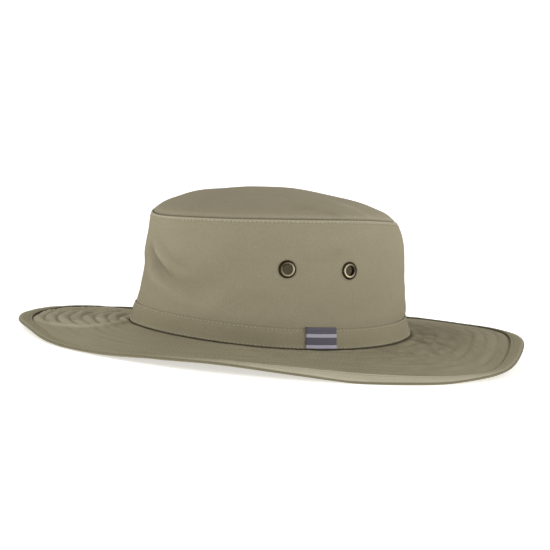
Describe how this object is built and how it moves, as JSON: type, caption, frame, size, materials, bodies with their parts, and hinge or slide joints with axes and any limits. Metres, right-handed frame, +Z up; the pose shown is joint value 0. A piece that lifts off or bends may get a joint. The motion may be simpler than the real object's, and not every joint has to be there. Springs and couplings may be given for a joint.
{
  "type": "ranger hat",
  "caption": "Cotton hat with a tall oval crown, domed tip, plain band with a small woven loop, rolled vent eyelets, and a wide stitched brim with a bound edge.",
  "frame": {"origin": "middle of the bounding box's base, on the surface that the hat rests on", "axes": "+X towards the wearer's left, -Y towards the front of the hat, +Z up"},
  "size_m": [0.3426, 0.3758, 0.1146],
  "materials": {
    "crown_cloth": "olive khaki cotton twill, matt, topstitched in a paler thread",
    "band_cloth": "olive khaki cotton twill strip, edge-stitched",
    "brim_cloth": "two plies of olive khaki cotton twill, stitched in rings and lightly puckered",
    "binding_cloth": "folded strip of olive khaki cotton, edge-stitched",
    "label_weave": "slate woven ribbon with plain pale woven stripes",
    "eyelet_brass": "antiqued brass, darkened at the rim and rubbed bright on the roll"
  },
  "bodies": {
    "root": {"crown_tip": "crown_cloth", "crown_side": "crown_cloth", "hat_band": "band_cloth", "label": "label_weave", "eyelet_left_front": "eyelet_brass", "eyelet_left_back": "eyelet_brass", "eyelet_right_front": "eyelet_brass", "eyelet_right_back": "eyelet_brass", "brim": "brim_cloth", "brim_binding": "binding_cloth"}
  },
  "joints": []
}
